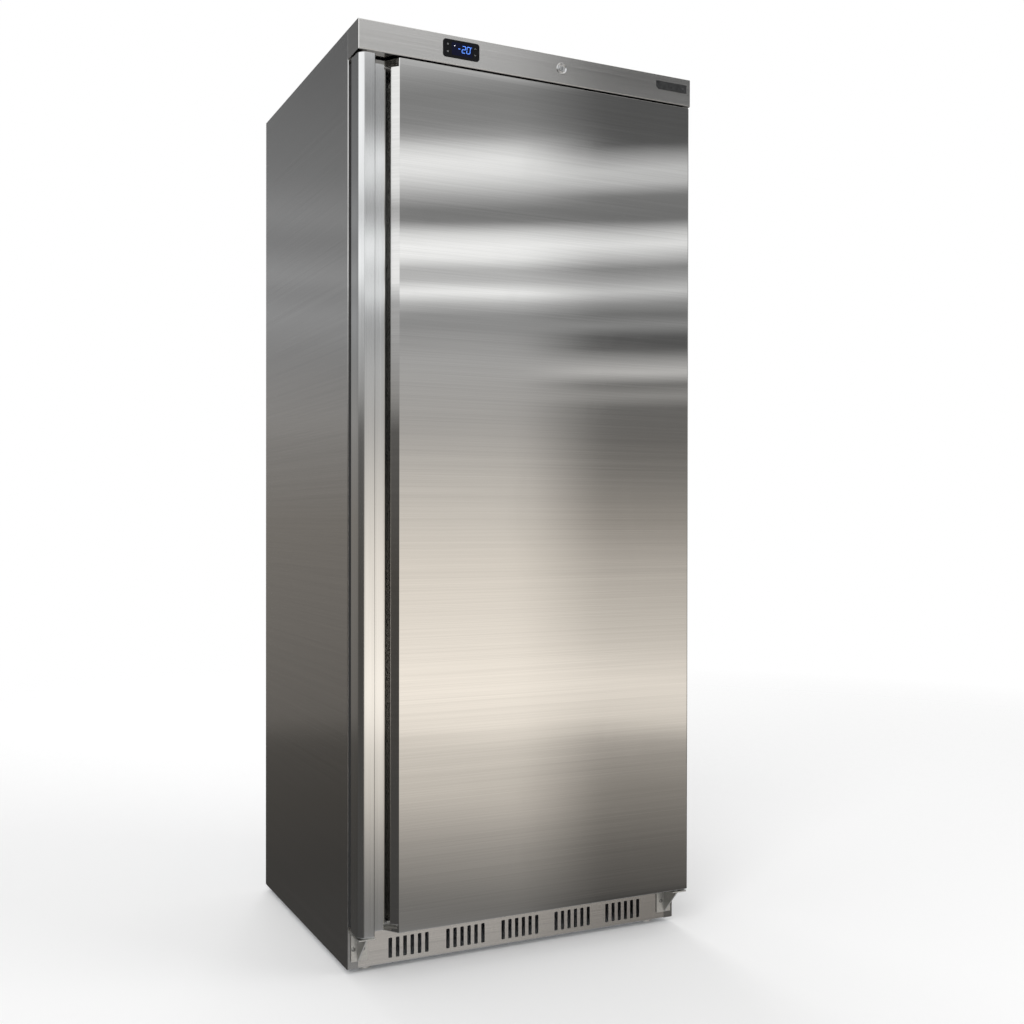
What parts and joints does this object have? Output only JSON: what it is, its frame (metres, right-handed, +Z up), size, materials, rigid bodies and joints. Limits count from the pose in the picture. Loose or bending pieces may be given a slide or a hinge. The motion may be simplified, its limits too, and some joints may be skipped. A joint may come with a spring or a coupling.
{
  "type": "upright freezer",
  "caption": "Tall free-standing stainless steel freezer with a hinged full-height door, side grip groove, control fascia and a slotted base.",
  "frame": {"origin": "middle of the footprint at floor level", "axes": "+Z up, front and door face -Y, +X to the right of a person facing the front, where the hinge is"},
  "size_m": [0.777, 0.695, 1.895],
  "materials": {
    "brushed_stainless": "satin",
    "polished_stainless": "polished",
    "plated_steel": "polished",
    "galvanised_sheet": "satin",
    "foam": "matte",
    "white_plastic": "satin",
    "black_rubber": "matte",
    "coated_tube": "satin",
    "black_plastic": "satin",
    "display_glass": "gloss",
    "zinc_steel": "satin",
    "grey_nylon": "matte",
    "black_enamel": "gloss",
    "aluminium_fins": "satin",
    "fan_aluminium": "satin",
    "copper": "satin"
  },
  "bodies": {
    "cabinet": {"back_panel": "galvanised_sheet", "badge_plate": "black_plastic", "base_tray": "galvanised_sheet", "bracket_screws": "plated_steel", "cabinet_foam": "foam", "compressor": "black_enamel", "compressor_grommets": "black_rubber", "condenser": "aluminium_fins", "controller_housing": "black_plastic", "display_window": "display_glass", "evaporator_risers": "coated_tube", "evaporator_shelf_1": "coated_tube", "evaporator_shelf_2": "coated_tube", "evaporator_shelf_3": "coated_tube", "evaporator_shelf_4": "coated_tube", "evaporator_shelf_5": "coated_tube", "evaporator_shelf_6": "coated_tube", "fan_motor": "black_enamel", "fan_shroud": "galvanised_sheet", "filter_drier": "copper", "front_frame": "brushed_stainless", "grille_panel": "brushed_stainless", "header_fascia": "brushed_stainless", "inner_liner": "white_plastic", "lead_grommet": "black_rubber", "left_door_bracket": "plated_steel", "lock_housing": "plated_steel", "lower_hinge_bracket": "plated_steel", "lower_hinge_pin": "plated_steel", "machine_housing": "galvanised_sheet", "rear_grille": "galvanised_sheet", "refrigerant_tubes": "copper", "relay_box": "black_plastic", "roller_forks": "galvanised_sheet", "shelf_rails": "white_plastic", "side_panel_left": "brushed_stainless", "side_panel_right": "brushed_stainless", "top_panel": "brushed_stainless", "upper_hinge_bracket": "plated_steel", "upper_hinge_pin": "plated_steel"},
    "door": {"door_skin": "brushed_stainless", "handle_profile": "polished_stainless", "door_foam": "foam", "door_inner_liner": "white_plastic", "door_gasket": "black_rubber", "upper_hinge_bush": "black_plastic", "lower_hinge_bush": "black_plastic", "closing_spring": "plated_steel", "lock_keeper": "black_plastic"},
    "lock": {"lock_plug": "plated_steel", "lock_cam": "plated_steel"},
    "key_upper_left": {"key_upper_left": "black_plastic"},
    "key_lower_left": {"key_lower_left": "black_plastic"},
    "key_upper_right": {"key_upper_right": "black_plastic"},
    "key_lower_right": {"key_lower_right": "black_plastic"},
    "fan": {"fan_blade": "fan_aluminium"},
    "foot_left": {"foot_left": "zinc_steel"},
    "foot_right": {"foot_right": "zinc_steel"},
    "roller_left": {"roller_left": "grey_nylon"},
    "roller_right": {"roller_right": "grey_nylon"}
  },
  "joints": [
    {"name": "door_swing", "type": "hinge", "parent": "cabinet", "child": "door", "pos_m": [0.365, -0.3265, 0.09], "axis": [0, 0, 1], "range_deg": [0, 110], "stiffness_Nm_per_rad": 1},
    {"name": "lock_turn", "type": "hinge", "parent": "cabinet", "child": "lock", "pos_m": [0.063, -0.3455, 1.868], "axis": [0, -1, 0], "range_deg": [0, 90]},
    {"name": "press_upper_left", "type": "slide", "parent": "cabinet", "child": "key_upper_left", "axis": [0, 1, 0], "range_m": [0, 0.0008], "stiffness_N_per_m": 1200},
    {"name": "press_upper_right", "type": "slide", "parent": "cabinet", "child": "key_upper_right", "axis": [0, 1, 0], "range_m": [0, 0.0008], "stiffness_N_per_m": 1200},
    {"name": "press_lower_left", "type": "slide", "parent": "cabinet", "child": "key_lower_left", "axis": [0, 1, 0], "range_m": [0, 0.0008], "stiffness_N_per_m": 1200},
    {"name": "press_lower_right", "type": "slide", "parent": "cabinet", "child": "key_lower_right", "axis": [0, 1, 0], "range_m": [0, 0.0008], "stiffness_N_per_m": 1200},
    {"name": "fan_spin", "type": "hinge", "parent": "cabinet", "child": "fan", "pos_m": [0.15, 0.2215, 0.1255], "axis": [0, 1, 0], "continuous": true},
    {"name": "foot_left_turn", "type": "hinge", "parent": "cabinet", "child": "foot_left", "pos_m": [-0.34, -0.2365, 0], "axis": [0, 0, 1], "continuous": true},
    {"name": "foot_right_turn", "type": "hinge", "parent": "cabinet", "child": "foot_right", "pos_m": [0.34, -0.2365, 0], "axis": [0, 0, 1], "continuous": true},
    {"name": "roller_left_spin", "type": "hinge", "parent": "cabinet", "child": "roller_left", "pos_m": [-0.34, 0.2855, 0.02], "axis": [1, 0, 0], "continuous": true},
    {"name": "roller_right_spin", "type": "hinge", "parent": "cabinet", "child": "roller_right", "pos_m": [0.34, 0.2855, 0.02], "axis": [1, 0, 0], "continuous": true}
  ]
}
